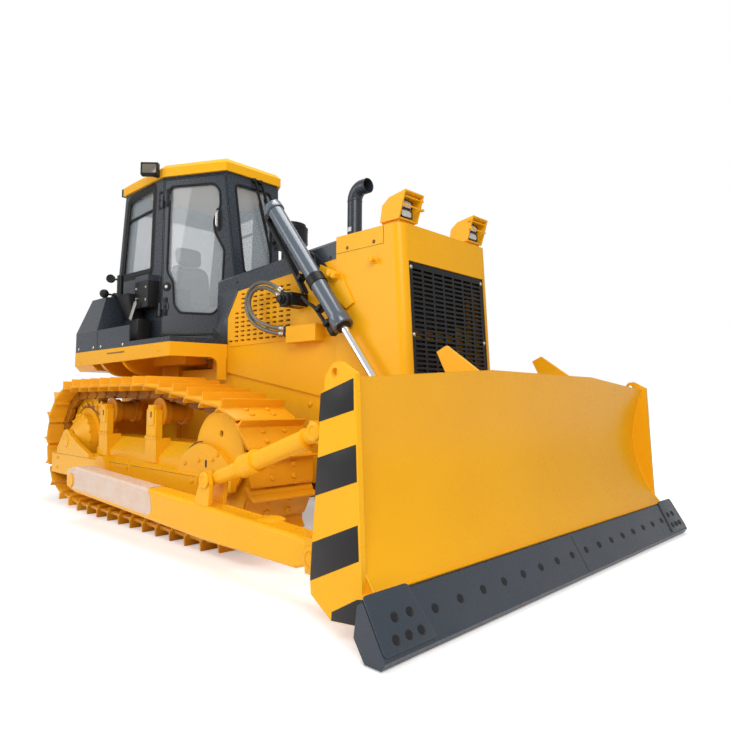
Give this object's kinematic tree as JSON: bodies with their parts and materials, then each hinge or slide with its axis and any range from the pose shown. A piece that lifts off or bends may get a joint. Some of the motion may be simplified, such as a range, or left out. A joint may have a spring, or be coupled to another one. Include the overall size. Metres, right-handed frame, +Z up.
{
  "type": "crawler bulldozer",
  "caption": "Full-size crawler bulldozer with a straight tilt blade on outside push arms, twin lift cylinders and a six-sided glazed cab.",
  "frame": {"origin": "centre of the machine's bounding box at ground level, under the grousers", "axes": "+X forward, towards the blade; +Y to the machine's left; +Z up"},
  "size_m": [5.1224, 3.388, 3.205],
  "materials": {
    "paint_yellow": "gloss",
    "paint_dark": "satin",
    "track_paint": "satin",
    "edge_steel": "satin",
    "dark_metal": "rough",
    "glass": "gloss",
    "seat_fabric": "matte",
    "black_plastic": "matte",
    "chrome_rod": "polished",
    "hose_rubber": "matte",
    "lamp_lens": "gloss"
  },
  "bodies": {
    "chassis": {"main_frame": "paint_yellow", "engine_block": "dark_metal", "drawbar": "paint_yellow", "radiator_guard": "paint_yellow", "grille": "black_plastic", "radiator": "dark_metal", "hood": "paint_dark", "engine_panel_right": "paint_yellow", "engine_panel_left": "paint_yellow", "lamp_boxes": "paint_yellow", "front_lamps": "lamp_lens", "exhaust_pipe": "paint_dark", "precleaner": "black_plastic", "platform": "paint_yellow", "kick_rim_right": "paint_dark", "kick_rim_left": "paint_dark", "side_box_right": "paint_dark", "side_box_left": "paint_dark", "fuel_tank": "paint_dark", "cab_frame": "paint_dark", "cab_roof": "paint_yellow", "cab_glass": "glass", "seat": "seat_fabric", "controls": "black_plastic", "work_lamps": "black_plastic", "track_frame_right": "paint_yellow", "track_frame_left": "paint_yellow", "track_right": "track_paint", "track_left": "track_paint", "sprockets": "paint_yellow", "final_drives": "paint_yellow", "idlers": "paint_yellow", "track_rollers": "dark_metal", "carrier_rollers": "dark_metal", "cylinder_yokes": "paint_yellow", "hose_right": "hose_rubber", "hose_left": "hose_rubber", "hose_inner_right": "hose_rubber", "hose_inner_left": "hose_rubber"},
    "blade_assembly": {"blade": "paint_yellow", "cutting_edge": "edge_steel", "push_arm_right": "paint_yellow", "push_arm_left": "paint_yellow", "brace_right": "paint_yellow", "brace_left": "paint_yellow"},
    "lift_barrel_right": {"lift_barrel_right": "paint_dark"},
    "lift_rod_right": {"lift_rod_right": "chrome_rod"},
    "cab_door_right": {"door_right": "paint_dark", "door_glass_right": "glass"},
    "lift_barrel_left": {"lift_barrel_left": "paint_dark"},
    "lift_rod_left": {"lift_rod_left": "chrome_rod"},
    "cab_door_left": {"door_left": "paint_dark", "door_glass_left": "glass"}
  },
  "joints": [
    {"name": "blade_lift", "type": "hinge", "parent": "chassis", "child": "blade_assembly", "pos_m": [-1.02, 0, 0.34], "axis": [0, -1, 0], "range_deg": [-8.8, 17.4]},
    {"name": "right_cylinder_swing", "type": "hinge", "parent": "chassis", "child": "lift_barrel_right", "pos_m": [0.91, -0.576, 1.795], "axis": [0, -1, 0], "range_deg": [-10.8, 21.2]},
    {"name": "right_cylinder_stroke", "type": "slide", "parent": "lift_barrel_right", "child": "lift_rod_right", "axis": [0.6255, 0, -0.7803], "range_m": [-0.73, 0.38]},
    {"name": "right_cab_door", "type": "hinge", "parent": "chassis", "child": "cab_door_right", "pos_m": [-1.26239, -0.61712, 2.3], "axis": [0, 0, -1], "range_deg": [0, 95]},
    {"name": "left_cylinder_swing", "type": "hinge", "parent": "chassis", "child": "lift_barrel_left", "pos_m": [0.91, 0.576, 1.795], "axis": [0, -1, 0], "range_deg": [-10.8, 21.2]},
    {"name": "left_cylinder_stroke", "type": "slide", "parent": "lift_barrel_left", "child": "lift_rod_left", "axis": [0.6255, 0, -0.7803], "range_m": [-0.73, 0.38]},
    {"name": "left_cab_door", "type": "hinge", "parent": "chassis", "child": "cab_door_left", "pos_m": [-1.26239, 0.61712, 2.3], "axis": [0, 0, 1], "range_deg": [0, 95]}
  ],
  "couplings": [
    {"joint": "right_cylinder_swing", "follows": "blade_lift", "ratio": 1.203},
    {"joint": "right_cylinder_stroke", "follows": "blade_lift", "m_per_rad": -2.357},
    {"joint": "left_cylinder_swing", "follows": "blade_lift", "ratio": 1.203},
    {"joint": "left_cylinder_stroke", "follows": "blade_lift", "m_per_rad": -2.357}
  ]
}
